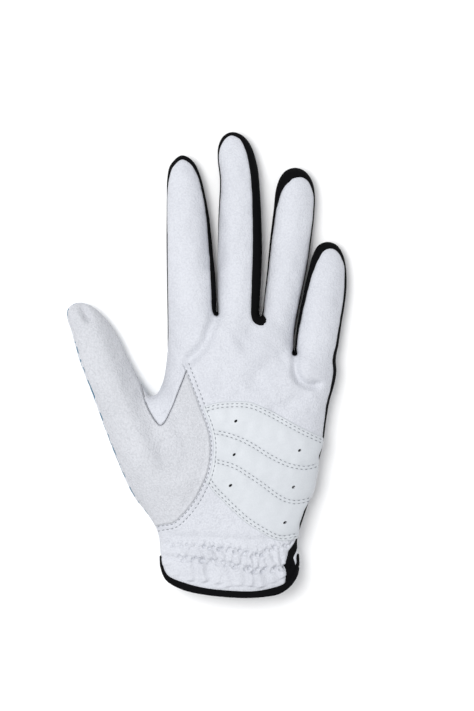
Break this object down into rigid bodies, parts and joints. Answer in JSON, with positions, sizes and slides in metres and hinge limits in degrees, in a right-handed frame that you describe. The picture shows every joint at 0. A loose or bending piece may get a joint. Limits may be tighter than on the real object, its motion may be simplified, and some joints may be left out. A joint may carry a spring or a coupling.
{
  "type": "golf glove",
  "caption": "Left-hand golf glove with leather palm, dark stretch gussets between the fingers, a quilted heel patch, a bound cuff and a hook-and-loop wrist tab.",
  "frame": {"origin": "middle of the glove's outline, on the surface that its back lies on", "axes": "+Y from the cuff to the fingertips, +X towards the little finger, +Z out of the palm"},
  "size_m": [0.1344, 0.2229, 0.0281],
  "materials": {
    "white_leather": "fine-grained matt white leather",
    "smooth_leather": "smooth, slightly shiny white leather",
    "printed_back": null,
    "black_stretch": "knitted black stretch fabric",
    "elastic": "woven elastic",
    "foam": "thin dark foam",
    "loop": "fuzzy loop tape",
    "hook": "hook tape"
  },
  "bodies": {
    "hand": {"palm_panel": "white_leather", "thumb_base_panel": "white_leather", "crotch_gusset": "white_leather", "back_panel": "printed_back", "slit_binding": "black_stretch", "web_gusset_index_middle": "black_stretch", "web_gusset_middle_ring": "black_stretch", "web_gusset_ring_little": "black_stretch", "side_gusset": "black_stretch", "palm_pad": "foam", "palm_patch": "smooth_leather", "wrist_elastic": "elastic", "cuff_binding": "black_stretch", "tab_root": "white_leather", "loop_tape": "loop"},
    "index_lower": {"index_lower_front": "white_leather", "index_lower_back": "printed_back", "index_gusset_thumb_side": "black_stretch", "index_gusset_outer_side": "black_stretch"},
    "index_tip": {"index_tip_front": "white_leather", "index_tip_back": "printed_back", "index_tip_gusset": "black_stretch"},
    "middle_lower": {"middle_lower_front": "white_leather", "middle_lower_back": "printed_back", "middle_gusset_thumb_side": "black_stretch", "middle_gusset_outer_side": "black_stretch"},
    "middle_tip": {"middle_tip_front": "white_leather", "middle_tip_back": "printed_back", "middle_tip_gusset": "black_stretch"},
    "ring_lower": {"ring_lower_front": "white_leather", "ring_lower_back": "printed_back", "ring_gusset_thumb_side": "black_stretch", "ring_gusset_outer_side": "black_stretch"},
    "ring_tip": {"ring_tip_front": "white_leather", "ring_tip_back": "printed_back", "ring_tip_gusset": "black_stretch"},
    "little_lower": {"little_lower_front": "white_leather", "little_lower_back": "printed_back", "little_gusset_thumb_side": "black_stretch", "little_gusset_outer_side": "black_stretch"},
    "little_tip": {"little_tip_front": "white_leather", "little_tip_back": "printed_back", "little_tip_gusset": "black_stretch"},
    "thumb_lower": {"thumb_lower_front": "white_leather", "thumb_lower_back": "printed_back"},
    "thumb_tip": {"thumb_tip_front": "white_leather", "thumb_tip_back": "printed_back"},
    "closure_flap": {"closure_tab": "white_leather", "hook_tape": "hook"}
  },
  "joints": [
    {"name": "index_base_bend", "type": "hinge", "parent": "hand", "child": "index_lower", "pos_m": [-0.0077, 0.027, 0.016], "axis": [0.9983, 0.0576, 0], "range_deg": [0, 85]},
    {"name": "index_middle_bend", "type": "hinge", "parent": "index_lower", "child": "index_tip", "pos_m": [-0.00931, 0.05495, 0.0154], "axis": [0.9996, -0.0297, 0], "range_deg": [0, 100]},
    {"name": "middle_base_bend", "type": "hinge", "parent": "hand", "child": "middle_lower", "pos_m": [0.0152, 0.027, 0.016], "axis": [1, 0, 0], "range_deg": [0, 85]},
    {"name": "middle_middle_bend", "type": "hinge", "parent": "middle_lower", "child": "middle_tip", "pos_m": [0.0152, 0.059, 0.0154], "axis": [0.9981, -0.061, 0], "range_deg": [0, 100]},
    {"name": "ring_base_bend", "type": "hinge", "parent": "hand", "child": "ring_lower", "pos_m": [0.0352, 0.0225, 0.016], "axis": [0.9917, -0.1288, 0], "range_deg": [0, 85]},
    {"name": "ring_middle_bend", "type": "hinge", "parent": "ring_lower", "child": "ring_tip", "pos_m": [0.03868, 0.04927, 0.0154], "axis": [0.9971, -0.0767, 0], "range_deg": [0, 100]},
    {"name": "little_base_bend", "type": "hinge", "parent": "hand", "child": "little_lower", "pos_m": [0.0533, 0.0095, 0.016], "axis": [0.9893, -0.1461, 0], "range_deg": [0, 85]},
    {"name": "little_middle_bend", "type": "hinge", "parent": "little_lower", "child": "little_tip", "pos_m": [0.05608, 0.0283, 0.0152], "axis": [0.9938, -0.1115, 0], "range_deg": [0, 100]},
    {"name": "thumb_base_bend", "type": "hinge", "parent": "hand", "child": "thumb_lower", "pos_m": [-0.0384, -0.0213, 0.0195], "axis": [0.9026, 0.4305, 0], "range_deg": [0, 50]},
    {"name": "thumb_tip_bend", "type": "hinge", "parent": "thumb_lower", "child": "thumb_tip", "pos_m": [-0.05002, 0.00307, 0.0175], "axis": [0.9026, 0.4305, 0], "range_deg": [0, 75]},
    {"name": "closure_tab_opens", "type": "hinge", "parent": "hand", "child": "closure_flap", "pos_m": [-0.003, -0.0815, 0.0027], "axis": [0, 1, 0], "range_deg": [0, 150]}
  ]
}
